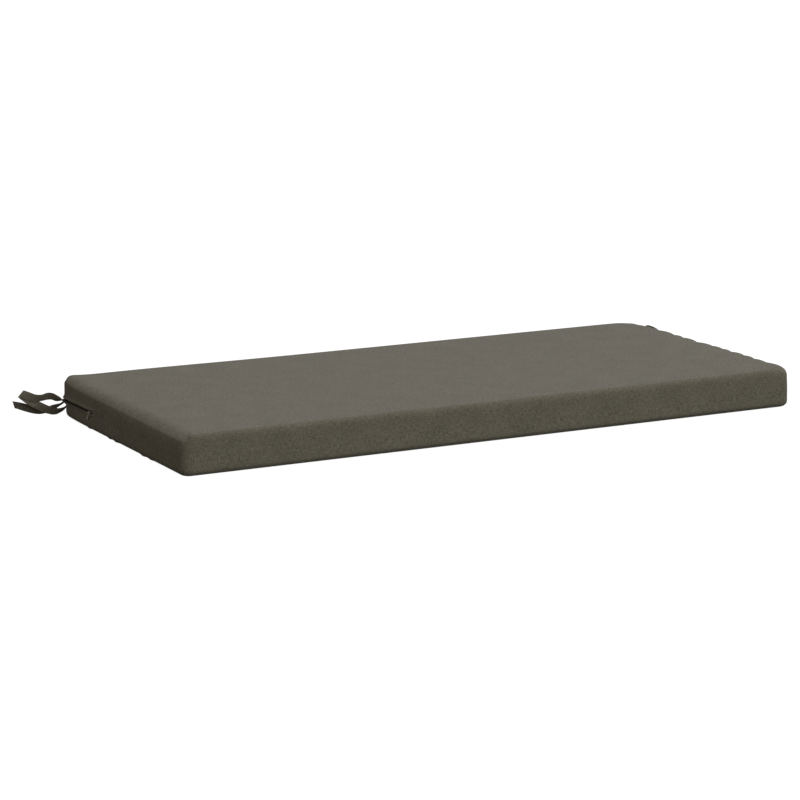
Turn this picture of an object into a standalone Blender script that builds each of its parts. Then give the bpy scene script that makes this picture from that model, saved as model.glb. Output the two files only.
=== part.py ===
# Bench cushion: one filled cover with drawn-in end seams, a zip let into the back and round onto both ends,
# and three cloth tie tails at each back corner.
# Metres, +Z up. The origin is the middle of the flat underside, +X runs along the bench and -Y is the front.
import math

import bmesh
import bpy
from mathutils import Vector

MM = 0.001

# The filled cushion: overall size, rolled edges and fill.
LENGTH = 1.200
DEPTH = 0.500
THICKNESS = 0.070
EDGE_ROLL = 0.012  # radius of every long and end edge
CORNER_ROLL = 0.020  # radius of the four upright corners, seen from above
CROWN = 0.0025  # how far the filling lifts the middle of the top
SHOULDER_DROP = 0.0020  # how far the end seams pull the top down in the middle of each end
SHOULDER_REACH = 0.040
CORNER_FADE = 0.030  # the seams pull less within this distance of a corner
GATHER_TOP_REACH = 0.020  # how far a gather runs in over the top, and down the end
GATHER_END_REACH = 0.011
CORNER_TUCK = 0.0022  # below the zip the back corners are drawn in by this much
TUCK_REACH = 0.045

# Uneven filling under the top, in mm: place, reach and lift (minus is a slack spot).
FILLING = (
    {"x": 594, "y": 238, "reach": 30, "lift": -4.6},
    {"x": -470, "y": 235, "reach": 190, "lift": 1.6},
    {"x": 588, "y": -120, "reach": 130, "lift": 3.2},
    {"x": 596, "y": -220, "reach": 26, "lift": 2.2},
    {"x": 604, "y": -254, "reach": 19, "lift": -7.0},
)

# The zip: its line on the back and the ends, and the slot that the two folds of cover leave for it.
ZIP_HEIGHT = 0.0310
ZIP_RISE = 0.0013  # the line is this much higher at the slider than at the back corners
SEAM_RISE = 0.0037  # and the closed seam climbs this much more
ZIP_FRONT = 0.1165  # the open slot comes this far forward on each end
SEAM_FRONT = 0.0700  # and a closed seam goes on to here
SLOT_RAMP = 0.0035  # the slot and the seam each reach their full depth over these lengths
SEAM_RAMP = 0.0020
SLOT_DEPTH = 0.0046
SEAM_DEPTH = 0.0010
SEAM_HALF = 0.0006
FOLD_FRONT = 0.0950  # the folds fade out between here and FOLD_FULL
FOLD_FULL = 0.1250

# Rows of the zip's two folds, in mm: height from the zip line, how proud of the face, and share of the slot's depth.
ZIP_ROWS = (
    {"up": 9.00, "proud": 0.0, "sunk": 0},
    {"up": 7.20, "proud": -0.5, "sunk": 0},
    {"up": 5.20, "proud": 1.0, "sunk": 0},
    {"up": 3.60, "proud": 1.5, "sunk": 0},
    {"up": 2.40, "proud": 0.9, "sunk": 0},
    {"up": 2.15, "proud": 0.0, "sunk": 1},
    {"up": -2.15, "proud": 0.0, "sunk": 1},
    {"up": -2.40, "proud": 0.3, "sunk": 0},
    {"up": -3.80, "proud": 0.7, "sunk": 0},
    {"up": -5.40, "proud": 0.3, "sunk": 0},
    {"up": -7.00, "proud": -0.3, "sunk": 0},
    {"up": -8.50, "proud": 0.0, "sunk": 0},
)
SLOT_HALF = 0.0024
ZIP_CUT_CLEAR = 0.003  # the even cuts across the depth keep this far from those of the zip's end
LEAST_STEP = 0.0012  # and no two cuts are closer than this

# Gathers of the end seams, in mm: place along Y, half width, and push (minus is drawn in).
GATHERS = {
    ("right", "top"): (
        {"y": 205, "half": 9, "push": -1.0},
        {"y": 159, "half": 12, "push": -2.2},
        {"y": 110, "half": 7, "push": -2.0},
        {"y": 79, "half": 8, "push": -1.7},
        {"y": 31, "half": 12, "push": -2.0},
        {"y": -15, "half": 6, "push": -1.5},
        {"y": -48, "half": 8, "push": -1.0},
        {"y": -78, "half": 10, "push": -1.9},
        {"y": -116, "half": 7, "push": -1.5},
        {"y": -148, "half": 8, "push": -1.5},
        {"y": -184, "half": 7, "push": -0.7},
    ),
    ("left", "bottom"): (
        {"y": 138, "half": 5, "push": 1.2},
        {"y": 52, "half": 5, "push": 1.2},
        {"y": 26, "half": 7, "push": 1.3},
        {"y": -84, "half": 7, "push": 1.4},
        {"y": -114, "half": 8, "push": 1.0},
    ),
    ("left", "top"): (
        {"y": 196, "half": 9, "push": -0.9},
        {"y": 158, "half": 9, "push": -1.3},
        {"y": 112, "half": 8, "push": -1.2},
        {"y": 76, "half": 9, "push": -1.5},
        {"y": 24, "half": 11, "push": -1.3},
        {"y": -42, "half": 9, "push": -1.6},
        {"y": -86, "half": 8, "push": -1.2},
        {"y": -122, "half": 9, "push": -1.4},
        {"y": -190, "half": 10, "push": -0.9},
    ),
    ("right", "bottom"): (
        {"y": 168, "half": 6, "push": 1.1},
        {"y": 94, "half": 6, "push": 1.3},
        {"y": 12, "half": 7, "push": 1.2},
        {"y": -58, "half": 6, "push": 1.3},
        {"y": -140, "half": 7, "push": 1.1},
    ),
}

# Zip strip, slider and pull.
ZIP_STRIP_HALF = 0.00175
ZIP_STRIP_OUT = 0.0025  # depth of the strip's outer and inner faces below the cover
ZIP_STRIP_IN = 0.0042
ZIP_STRIP_START = 0.1190
SLIDER_Y = 0.1262
SLIDER_LENGTH = 0.0080
SLIDER_HALF_HEIGHT = 0.0019
SLIDER_DEPTH = 0.0019  # how deep the body sits, and how far it stands out
SLIDER_PROUD = 0.0004
SLIDER_BEVEL = 0.0005
BRIDGE_HALF_LENGTH = 0.0029
BRIDGE_WIRE = 0.0008
BRIDGE_RISE = 0.0024  # clear height below the bridge
PULL_LENGTH = 0.0160
PULL_HALF_WIDTH = 0.0021
PULL_NECK = 0.0015
PULL_HOLE = 0.0009
PULL_THICKNESS = 0.0010
PULL_STANDOFF = 0.0016  # from the end's face to the middle of the pull
PULL_SWING = math.radians(31)  # it hangs a little towards the back

# Ties: flat tails of folded cloth. Rows in mm from the end face, the back face and the zip line at the corner;
# roll is 0 where the tail lies flat and -90 where it stands on edge.
TIE_WIDTH = 0.015
TIE_THICKNESS = 0.0010
TIE_STEPS = 26
TIE_SPLIT = 2
ROOT_SHARE = 0.22  # the first part of a tail, over which it leaves the line it is sewn in along
ROOT_PINCH = 0.75  # how wide it is where it is sewn in, as a share of its width
BACK_ROOT = -3.0  # a root at less than this depth, in mm, is sewn in along the back and not round the corner
TIES = {
    "tie_left_upper": (
        {"out": -6.1, "back": -8.3, "up": 0.3, "roll": 0},
        {"out": -1.6, "back": -5.0, "up": -1.2, "roll": -8},
        {"out": 7.2, "back": -1.5, "up": 1.2, "roll": -44},
        {"out": 15.5, "back": 2.0, "up": 5.2, "roll": -61},
        {"out": 23.7, "back": 4.0, "up": 5.9, "roll": -68},
        {"out": 35.0, "back": 4.0, "up": 4.1, "roll": -62},
        {"out": 47.9, "back": 3.0, "up": 5.0, "roll": -70},
        {"out": 61.0, "back": 2.0, "up": 10.2, "roll": -78},
        {"out": 73.3, "back": 0.0, "up": 15.4, "roll": -95},
    ),
    "tie_left_lower": (
        {"out": -20.0, "back": -1.8, "up": 0.0, "roll": 0},
        {"out": -14.5, "back": 2.6, "up": -0.8, "roll": 0},
        {"out": -5.1, "back": 8.4, "up": -10.4, "roll": -12},
        {"out": 7.2, "back": 13.0, "up": -16.3, "roll": -37},
        {"out": 24.9, "back": 20.0, "up": -23.2, "roll": -53},
        {"out": 39.4, "back": 21.0, "up": -21.5, "roll": -57},
        {"out": 54.4, "back": 21.0, "up": -15.9, "roll": -62},
        {"out": 68.9, "back": 19.0, "up": -10.1, "roll": -59},
        {"out": 78.6, "back": 18.0, "up": -7.0, "roll": -55},
    ),
    "tie_left_crossing": (
        {"out": -45.0, "back": -1.8, "up": 0.0, "roll": 0},
        {"out": -38.5, "back": 2.8, "up": -0.4, "roll": 0},
        {"out": -30.0, "back": 7.8, "up": -3.5, "roll": -8},
        {"out": -20.0, "back": 9.5, "up": -10.0, "roll": -19},
        {"out": -10.3, "back": 8.5, "up": -19.5, "roll": -33},
        {"out": 0.7, "back": 7.0, "up": -22.8, "roll": -43},
        {"out": 8.5, "back": 8.0, "up": -23.1, "roll": -58},
        {"out": 17.4, "back": 8.0, "up": -20.8, "roll": -66},
        {"out": 28.7, "back": 8.0, "up": -15.8, "roll": -80},
        {"out": 41.2, "back": 9.0, "up": -9.0, "roll": -106},
        {"out": 57.4, "back": 8.0, "up": 0.7, "roll": -112},
        {"out": 72.0, "back": 6.0, "up": 12.6, "roll": -110},
    ),
    "tie_right_upper": (
        {"out": -6.1, "back": -8.3, "up": 0.3, "roll": 0},
        {"out": -1.6, "back": -5.0, "up": 1.4, "roll": -8},
        {"out": 8.0, "back": -1.0, "up": 8.2, "roll": -28},
        {"out": 17.0, "back": 2.5, "up": 18.4, "roll": -86},
        {"out": 28.0, "back": 4.0, "up": 17.6, "roll": -74},
        {"out": 42.0, "back": 4.0, "up": 12.0, "roll": -72},
        {"out": 55.0, "back": 3.0, "up": 0.6, "roll": -78},
        {"out": 68.0, "back": 1.0, "up": -7.7, "roll": -90},
    ),
}
# Slanted cuts: how much further the tail's lower edge runs at its end, in mm.
TIE_CUTS = {"upper": 8.0, "lower": -12.5, "crossing": 0.0}
CUT_SHARE = 0.2  # the last part of the tail, over which its weave leans into the cut
RIGHT_LOWER_DROOP = 5.0  # the right-hand tails hang lower, by this much at their ends, in mm
RIGHT_CROSSING_DROOP = 17.0

COVER_CLOTH = (0.115, 0.110, 0.092)
TIE_CLOTH = (0.085, 0.082, 0.068)
ZIP_TAPE = (0.018, 0.018, 0.016)
SLIDER_METAL = (0.36, 0.36, 0.34)


def smooth(value):
    """A share from 0 to 1 with soft ends."""
    share = min(max(value, 0.0), 1.0)
    return share * share * (3.0 - 2.0 * share)


def make_material(name, color, roughness, metallic=0.0):
    """A plain finish for one sub-part."""
    made = bpy.data.materials.new(name)
    made.use_nodes = True
    shader = made.node_tree.nodes["Principled BSDF"]
    shader.inputs["Base Color"].default_value = (*color, 1.0)
    shader.inputs["Roughness"].default_value = roughness
    shader.inputs["Metallic"].default_value = metallic
    return made


def add_object(name, mesh, collection, material):
    """Links a mesh as one named sub-part."""
    made = bpy.data.objects.new(name, mesh)
    collection.objects.link(made)
    made.data.materials.clear()
    made.data.materials.append(material)
    return made


def finish_mesh(shape, name):
    """Turns a bmesh into a smooth-shaded mesh with its faces pointing out."""
    bmesh.ops.recalc_face_normals(shape, faces=shape.faces)
    mesh = bpy.data.meshes.new(name)
    shape.to_mesh(mesh)
    shape.free()
    mesh.shade_smooth()
    mesh.set_sharp_from_angle(angle=math.radians(40))
    return mesh


def thinned(values, least):
    """Sorted stations with those closer together than least left out."""
    kept = []
    for value in sorted(values):
        if not kept or value - kept[-1] >= least:
            kept.append(value)
    return kept


def edge_stations():
    """Distances from an edge at which a roll is cut, so that its facets are even."""
    quarter = [EDGE_ROLL * (1.0 - math.tan(math.radians(angle))) for angle in (0, 15, 30)]
    return quarter + [0.8 * CORNER_ROLL, CORNER_ROLL]


def length_stations():
    """Cuts across the length: close at the ends, where the cover is gathered, and wide in the middle."""
    from_end = edge_stations() + [0.030, 0.042, 0.060, 0.100]
    cuts = [side * (LENGTH / 2 - distance) for side in (-1, 1) for distance in from_end]
    return sorted(cuts + [share * LENGTH / 2 for share in (-0.55, -0.28, 0.0, 0.28, 0.55)])


def depth_stations():
    """Cuts across the depth: even ones that follow the gathers, and those of the zip's end."""
    rolled = [side * (DEPTH / 2 - distance) for side in (-1, 1) for distance in edge_stations()]
    straight = DEPTH / 2 - CORNER_ROLL
    count = 36
    even = [-straight + 2 * straight * step / count for step in range(1, count)]
    zip_cuts = [SEAM_FRONT - SEAM_RAMP, SEAM_FRONT, ZIP_FRONT - SLOT_RAMP, ZIP_FRONT]
    even = [value for value in even if min(abs(value - cut) for cut in zip_cuts) > ZIP_CUT_CLEAR]
    return thinned(rolled + even + zip_cuts, LEAST_STEP)


def height_stations():
    """Cuts across the thickness: the two rolls and the rows of the zip's folds."""
    rolls = edge_stations()[:3]
    rows = [ZIP_HEIGHT + row["up"] * MM for row in ZIP_ROWS]
    return sorted(rolls + rows + [THICKNESS - distance for distance in rolls])


def zip_line(y):
    """Height of the zip line, which rises from the back corners to the slider, and more in the seam beyond it."""
    to_slider = min(max((DEPTH / 2 - y) / (DEPTH / 2 - SLIDER_Y), 0.0), 1.0)
    past_slider = min(max((SLIDER_Y - y) / (SLIDER_Y - SEAM_FRONT), 0.0), 1.0)
    return ZIP_HEIGHT + ZIP_RISE * to_slider + SEAM_RISE * past_slider


def wrap(x, y, z):
    """Rolls the edges of a point on the plain box. Returns the point and the way its cover faces."""
    side_x = math.copysign(1.0, x)
    side_y = math.copysign(1.0, y)
    past_x = max(CORNER_ROLL - (LENGTH / 2 - abs(x)), 0.0)
    past_y = max(CORNER_ROLL - (DEPTH / 2 - abs(y)), 0.0)
    upward = 1.0 if z > THICKNESS / 2 else -1.0
    from_face = THICKNESS - z if upward > 0 else z
    if past_x == 0.0 and past_y == 0.0:
        return Vector((x, y, z)), Vector((0.0, 0.0, upward))
    reach = max(past_x, past_y)
    outward = Vector((side_x * past_x, side_y * past_y, 0.0)).normalized()
    centre = Vector((x - side_x * past_x, y - side_y * past_y, 0.0))
    inset = CORNER_ROLL - reach
    over_edge = max(EDGE_ROLL - inset, 0.0)
    over_face = max(EDGE_ROLL - from_face, 0.0)
    if over_edge > 0.0 and over_face > 0.0:
        scale = max(over_edge, over_face) / math.hypot(over_edge, over_face)
        over_edge *= scale
        over_face *= scale
        inset = EDGE_ROLL - over_edge
        from_face = EDGE_ROLL - over_face
    facing = outward * over_edge + Vector((0.0, 0.0, upward * over_face))
    if facing.length < 1e-9:
        facing = Vector((0.0, 0.0, upward))
    point = centre + outward * (CORNER_ROLL - inset)
    point.z = THICKNESS - from_face if upward > 0 else from_face
    return point, facing.normalized()


def gather_push(end, edge, y):
    """How far the gathers of one end seam move the cover at y."""
    rows = GATHERS[(end, edge)]
    return sum(row["push"] * MM * math.exp(-(((y - row["y"] * MM) / (row["half"] * MM)) ** 2)) for row in rows)


def gather(box_point, point, facing):
    """Draws the cover in along the seams of the end panels."""
    from_end = LENGTH / 2 - abs(box_point.x)
    from_long = DEPTH / 2 - abs(box_point.y)
    top = box_point.z > THICKNESS / 2
    from_face = THICKNESS - box_point.z if top else box_point.z
    fade = smooth(from_long / CORNER_FADE)
    over_top = math.exp(-((max(from_end - EDGE_ROLL, 0.0) / GATHER_TOP_REACH) ** 2))
    down_end = math.exp(-((max(from_face - EDGE_ROLL, 0.0) / GATHER_END_REACH) ** 2))
    end = "right" if box_point.x > 0 else "left"
    push = gather_push(end, "top" if top else "bottom", box_point.y) * fade * over_top * down_end
    moved = point + facing * push
    if top:
        sag = SHOULDER_DROP * math.exp(-((from_end / SHOULDER_REACH) ** 2))
        moved.z -= sag * smooth(from_long / (2 * CORNER_FADE)) * smooth(2 * box_point.z / THICKNESS - 1)
    moved.z = max(moved.z, 0.0)
    return moved


def fold_in_zip(box_point, point, facing):
    """Shapes the two folds and the slot of the zip on the back and the rear of both ends."""
    row = min(ZIP_ROWS, key=lambda candidate: abs(ZIP_HEIGHT + candidate["up"] * MM - box_point.z))
    if abs(ZIP_HEIGHT + row["up"] * MM - box_point.z) > 1e-6 or abs(facing.z) > 1e-6:
        return point
    y = box_point.y
    folds = smooth((y - FOLD_FRONT) / (FOLD_FULL - FOLD_FRONT))
    slot = smooth((y - ZIP_FRONT + SLOT_RAMP) / SLOT_RAMP)
    seam = smooth((y - SEAM_FRONT + SEAM_RAMP) / SEAM_RAMP)
    depth = row["sunk"] * (SEAM_DEPTH * seam + (SLOT_DEPTH - SEAM_DEPTH) * slot)
    half = SLOT_HALF + (SEAM_HALF - SLOT_HALF) * seam * (1.0 - slot)
    moved = point + facing * (row["proud"] * MM * folds - depth)
    near_slot = abs(row["up"] * MM) <= SLOT_HALF + 1e-9
    height = row["up"] * MM * (half / SLOT_HALF if near_slot else 1.0)
    moved.z = zip_line(y) + height
    return moved


def filled(box_point, point):
    """Lifts the top over the filling, and draws the back corners in below the zip."""
    crown = (1.0 - (2 * box_point.x / LENGTH) ** 4) * (1.0 - (2 * box_point.y / DEPTH) ** 4)
    lift = CROWN * crown
    for row in FILLING:
        away = math.hypot(box_point.x - row["x"] * MM, box_point.y - row["y"] * MM)
        lift += row["lift"] * MM * math.exp(-((away / (row["reach"] * MM)) ** 2))
    moved = point.copy()
    moved.z += lift * smooth(2 * box_point.z / THICKNESS - 1)
    below_zip = smooth((ZIP_HEIGHT - box_point.z) / SLOT_HALF - 1)
    from_corner = math.hypot(LENGTH / 2 - abs(box_point.x), DEPTH / 2 - box_point.y)
    tuck = CORNER_TUCK * below_zip * math.exp(-((from_corner / TUCK_REACH) ** 2))
    moved.x -= math.copysign(tuck, box_point.x)
    moved.y -= tuck
    return moved


def make_cushion(collection, material):
    """One filled solid: a box cut at the stations, its edges rolled, its end seams gathered and the zip let in."""
    shape = bmesh.new()
    bmesh.ops.create_cube(shape, size=1.0)
    for vertex in shape.verts:
        vertex.co.x *= LENGTH
        vertex.co.y *= DEPTH
        vertex.co.z = (vertex.co.z + 0.5) * THICKNESS
    for axis, stations in enumerate((length_stations(), depth_stations(), height_stations())):
        direction = Vector([1.0 if axis == index else 0.0 for index in range(3)])
        for station in stations:
            cut = [*shape.verts, *shape.edges, *shape.faces]
            bmesh.ops.bisect_plane(shape, geom=cut, dist=1e-7, plane_co=direction * station, plane_no=direction)
    for vertex in shape.verts:
        box_point = vertex.co.copy()
        point, facing = wrap(*box_point)
        point = fold_in_zip(box_point, point, facing)
        vertex.co = filled(box_point, gather(box_point, point, facing))
    flat = [face for face in shape.faces if max(vertex.co.z for vertex in face.verts) < 1e-7]
    bmesh.ops.dissolve_faces(shape, faces=flat)
    return add_object("cushion", finish_mesh(shape, "cushion"), collection, material)


def ribbon(rows, columns):
    """An open strip of quads through rows of points, made from a flat grid."""
    shape = bmesh.new()
    grid = bmesh.ops.create_grid(shape, x_segments=len(rows) - 1, y_segments=columns, size=0.5)
    for vertex in grid["verts"]:
        along = round((vertex.co.x + 0.5) * (len(rows) - 1))
        across = vertex.co.y
        centre, width = rows[along]
        vertex.co = centre + width * across
    return shape


def thicken(made, thickness):
    """Gives an open strip its real thickness, half on each side."""
    solidify = made.modifiers.new("thickness", "SOLIDIFY")
    solidify.thickness = thickness
    solidify.offset = 0.0
    solidify.use_even_offset = True
    return made


def zip_path():
    """Plan points and outward directions along the slot, from the left end round the back to the right end."""
    straight_x = LENGTH / 2 - CORNER_ROLL
    straight_y = DEPTH / 2 - CORNER_ROLL
    path = []
    for step in range(4):
        y = ZIP_STRIP_START + (straight_y - ZIP_STRIP_START) * step / 4
        path.append((Vector((-LENGTH / 2, y, 0.0)), Vector((-1.0, 0.0, 0.0))))
    for step in range(9):
        angle = math.radians(90.0 * step / 8)
        outward = Vector((-math.cos(angle), math.sin(angle), 0.0))
        path.append((Vector((-straight_x, straight_y, 0.0)) + outward * CORNER_ROLL, outward))
    for step in range(1, 8):
        x = -straight_x + straight_x * step / 8
        path.append((Vector((x, DEPTH / 2, 0.0)), Vector((0.0, 1.0, 0.0))))
    middle = (Vector((0.0, DEPTH / 2, 0.0)), Vector((0.0, 1.0, 0.0)))
    mirrored = [(Vector((-p.x, p.y, 0.0)), Vector((-n.x, n.y, 0.0))) for p, n in reversed(path)]
    return path + [middle] + mirrored


def make_zip_strip(collection, material):
    """The tape and chain that show in the slot, as one strip."""
    depth = (ZIP_STRIP_OUT + ZIP_STRIP_IN) / 2
    rows = []
    for point, outward in zip_path():
        centre = point - outward * depth
        centre.z = zip_line(point.y)
        rows.append((centre, Vector((0.0, 0.0, 2 * ZIP_STRIP_HALF))))
    made = add_object("zip_strip", finish_mesh(ribbon(rows, 1), "zip_strip"), collection, material)
    return thicken(made, ZIP_STRIP_IN - ZIP_STRIP_OUT)


def outline_solid(name, outlines, half_thickness):
    """A flat plate from closed 2D outlines, welded into one mesh."""
    curve = bpy.data.curves.new(name, "CURVE")
    curve.dimensions = "2D"
    curve.fill_mode = "BOTH"
    curve.extrude = half_thickness
    for outline in outlines:
        spline = curve.splines.new("POLY")
        spline.points.add(len(outline) - 1)
        for target, (across, up) in zip(spline.points, outline):
            target.co = (across, up, 0.0, 1.0)
        spline.use_cyclic_u = True
    holder = bpy.data.objects.new(name, curve)
    bpy.context.scene.collection.objects.link(holder)
    bpy.context.view_layer.update()
    evaluated = holder.evaluated_get(bpy.context.evaluated_depsgraph_get())
    mesh = bpy.data.meshes.new_from_object(evaluated)
    bpy.data.objects.remove(holder)
    shape = bmesh.new()
    shape.from_mesh(mesh)
    bpy.data.meshes.remove(mesh)
    bmesh.ops.remove_doubles(shape, verts=shape.verts, dist=1e-6)
    return shape


def bridge_outline():
    """The arch over the slider that the pull hangs on, seen from above: along the zip, and out from the face."""
    foot = -0.0006
    outer = BRIDGE_HALF_LENGTH
    inner = outer - BRIDGE_WIRE
    top = BRIDGE_RISE + BRIDGE_WIRE
    bevel = 0.75 * BRIDGE_WIRE
    return (
        (-outer, foot),
        (-outer, top - bevel),
        (-outer + bevel, top),
        (outer - bevel, top),
        (outer, top - bevel),
        (outer, foot),
        (inner, foot),
        (inner, BRIDGE_RISE - bevel / 2),
        (inner - bevel / 2, BRIDGE_RISE),
        (-inner + bevel / 2, BRIDGE_RISE),
        (-inner, BRIDGE_RISE - bevel / 2),
        (-inner, foot),
    )


def slider_place(along, out, up):
    """A point of the slider's own frame, on the left end: along the zip towards the back, out from the face, and up."""
    return Vector((-LENGTH / 2 - out, SLIDER_Y + along, zip_line(SLIDER_Y) + up))


def make_slider(parts, cutters, material):
    """The slider's body with its bridge joined on."""
    bpy.ops.mesh.primitive_cube_add(size=1.0)
    body = bpy.context.active_object
    body.name = "zip_slider"
    mesh = body.data
    for vertex in mesh.vertices:
        along = vertex.co.y * SLIDER_LENGTH
        out = SLIDER_PROUD - (vertex.co.x + 0.5) * (SLIDER_DEPTH + SLIDER_PROUD)
        up = vertex.co.z * 2 * SLIDER_HALF_HEIGHT
        vertex.co = slider_place(along, out, up)
    for collection in list(body.users_collection):
        collection.objects.unlink(body)
    parts.objects.link(body)
    mesh.materials.append(material)
    shape = outline_solid("bridge", [bridge_outline()], BRIDGE_WIRE / 2)
    for vertex in shape.verts:
        along, out, up = vertex.co
        vertex.co = slider_place(along, out, up)
    bridge = add_object("bridge", finish_mesh(shape, "bridge"), cutters, material)
    bridge.hide_render = True
    bridge.display_type = "WIRE"
    bevel = body.modifiers.new("edges", "BEVEL")
    bevel.width = SLIDER_BEVEL
    bevel.segments = 2
    join = body.modifiers.new("bridge", "BOOLEAN")
    join.operation = "UNION"
    join.solver = "EXACT"
    join.object = bridge
    return body


def drop_outline():
    """The pull's outline: a narrow neck round its eye that widens to a round end below."""
    points = []
    bottom = -PULL_LENGTH + PULL_HALF_WIDTH
    for step in range(9):
        angle = math.radians(180.0 + 180.0 * step / 8)
        points.append((PULL_HALF_WIDTH * math.cos(angle), bottom + PULL_HALF_WIDTH * math.sin(angle)))
    for step in range(9):
        angle = math.radians(180.0 * step / 8)
        points.append((PULL_NECK * math.cos(angle), PULL_NECK * math.sin(angle)))
    return points


def make_pull(collection, material):
    """The drop-shaped pull that hangs from the bridge's front leg."""
    hole = [
        (PULL_HOLE * math.cos(math.radians(45 * step)), PULL_HOLE * math.sin(math.radians(45 * step)))
        for step in range(8)
    ]
    shape = outline_solid("zip_pull", [drop_outline(), hole], PULL_THICKNESS / 2)
    eye = BRIDGE_WIRE / 2 - BRIDGE_HALF_LENGTH
    for vertex in shape.verts:
        across, up, out = vertex.co
        swung_along = across * math.cos(PULL_SWING) - up * math.sin(PULL_SWING)
        swung_up = across * math.sin(PULL_SWING) + up * math.cos(PULL_SWING)
        vertex.co = slider_place(eye + swung_along, PULL_STANDOFF + out, swung_up)
    return add_object("zip_pull", finish_mesh(shape, "zip_pull"), collection, material)


def spline_value(rows, column, position):
    """A smooth value between a table's rows (Catmull-Rom)."""
    last = len(rows) - 1
    index = min(int(position), last - 1)
    share = position - index
    before, start, end, after = (
        rows[min(max(index + offset, 0), last)][column] for offset in (-1, 0, 1, 2)
    )
    return 0.5 * (
        2 * start
        + (end - before) * share
        + (2 * before - 5 * start + 4 * end - after) * share**2
        + (3 * start - before - 3 * end + after) * share**3
    )


def tie_rows(rows, cut):
    """Centres and widths along one tail, for the left-hand corner. cut is how far its end slants, in mm."""
    last = len(rows) - 1
    centres = []
    rolls = []
    for step in range(TIE_STEPS + 1):
        position = last * step / TIE_STEPS
        out, back, up, roll = (spline_value(rows, column, position) for column in ("out", "back", "up", "roll"))
        centres.append(Vector((-LENGTH / 2 - out * MM, DEPTH / 2 + back * MM, ZIP_HEIGHT + up * MM)))
        rolls.append(math.radians(roll))
    made = []
    root_width = (centres[1] - centres[0]).cross(Vector((0.0, 0.0, 1.0))).normalized()
    if rows[0]["back"] > BACK_ROOT:
        root_width = Vector((1.0, 0.0, 0.0))
    for step, (centre, roll) in enumerate(zip(centres, rolls)):
        before = centres[max(step - 1, 0)]
        after = centres[min(step + 1, TIE_STEPS)]
        along = (after - before).normalized()
        level = along.cross(Vector((0.0, 0.0, 1.0))).normalized()
        spread = smooth(step / (ROOT_SHARE * TIE_STEPS))
        level = root_width.lerp(level, spread).normalized()
        standing = level.cross(along).normalized()
        width = level * math.cos(roll) + standing * math.sin(roll)
        lean = along * cut * MM * smooth(1.0 - (1.0 - step / TIE_STEPS) / CUT_SHARE)
        made.append((centre, width * TIE_WIDTH * (ROOT_PINCH + (1.0 - ROOT_PINCH) * spread) + lean))
    return made


def drooped(rows, droop):
    """The same tail hanging lower, nearly all of it towards its end."""
    last = len(rows) - 1
    return [{**row, "up": row["up"] - droop * (index / last) ** 4} for index, row in enumerate(rows)]


def make_tie(name, rows, collection, material):
    """One flat tail. The right-hand ones are the other way round in X."""
    placed = tie_rows(rows, TIE_CUTS[name.split("_")[-1]])
    if "_right_" in name:
        flip = Vector((-1.0, 1.0, 1.0))
        placed = [(centre * flip, width * flip) for centre, width in placed]
    made = add_object(name, finish_mesh(ribbon(placed, TIE_SPLIT), name), collection, material)
    return thicken(made, TIE_THICKNESS)


def clear_scene():
    """Removes what the file opened with."""
    for found in list(bpy.data.objects):
        bpy.data.objects.remove(found)


def build():
    """Makes every sub-part."""
    clear_scene()
    parts = bpy.data.collections.new("bench_cushion")
    cutters = bpy.data.collections.new("cutters")
    bpy.context.scene.collection.children.link(parts)
    bpy.context.scene.collection.children.link(cutters)
    make_cushion(parts, make_material("cover_cloth", COVER_CLOTH, 0.92))
    make_zip_strip(parts, make_material("zip_tape", ZIP_TAPE, 0.8))
    metal = make_material("slider_metal", SLIDER_METAL, 0.45, 0.8)
    make_slider(parts, cutters, metal)
    make_pull(parts, metal)
    tie_cloth = make_material("tie_cloth", TIE_CLOTH, 0.9)
    tails = dict(TIES)
    tails["tie_right_lower"] = drooped(TIES["tie_left_lower"], RIGHT_LOWER_DROOP)
    tails["tie_right_crossing"] = drooped(TIES["tie_left_crossing"], RIGHT_CROSSING_DROOP)
    for name, rows in tails.items():
        make_tie(name, rows, parts, tie_cloth)


build()
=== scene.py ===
import math

import bpy
import numpy as np
from mathutils import Matrix, Vector


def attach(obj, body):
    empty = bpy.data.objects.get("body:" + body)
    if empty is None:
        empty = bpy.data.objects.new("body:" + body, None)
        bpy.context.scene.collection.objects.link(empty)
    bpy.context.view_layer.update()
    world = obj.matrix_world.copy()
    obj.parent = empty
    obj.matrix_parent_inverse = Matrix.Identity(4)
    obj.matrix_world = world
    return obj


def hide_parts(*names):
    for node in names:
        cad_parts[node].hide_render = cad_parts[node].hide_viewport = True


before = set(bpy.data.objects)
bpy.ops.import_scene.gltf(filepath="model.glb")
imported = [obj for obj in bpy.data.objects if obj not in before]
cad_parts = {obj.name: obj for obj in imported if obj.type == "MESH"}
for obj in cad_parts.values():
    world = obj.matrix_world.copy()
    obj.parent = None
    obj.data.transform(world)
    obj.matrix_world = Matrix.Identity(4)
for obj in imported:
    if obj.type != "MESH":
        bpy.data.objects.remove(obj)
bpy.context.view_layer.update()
mm = 0.001
hair = 1e-9  # closer than this counts as touching


def toLinear(hexColour):
    # sRGB hex to the linear values that a shader takes
    parts = [int(hexColour[start:start + 2], 16) / 255 for start in (1, 3, 5)]
    linear = [part / 12.92 if part <= 0.04045 else ((part + 0.055) / 1.055) ** 2.4 for part in parts]
    return (*linear, 1.0)


def setInputs(tree, node, inputs):
    # a socket's name or number -> its value, the socket that it's linked from, or a node for its first output
    for name, value in inputs.items():
        source = value.outputs[0] if isinstance(value, bpy.types.Node) else value
        if isinstance(source, bpy.types.NodeSocket):
            tree.links.new(source, node.inputs[name])
        else:
            node.inputs[name].default_value = source


def addNode(tree, kind, settings=None, inputs=None):
    node = tree.nodes.new(kind)
    for name, value in (settings or {}).items():
        setattr(node, name, value)
    setInputs(tree, node, inputs or {})
    return node


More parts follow.
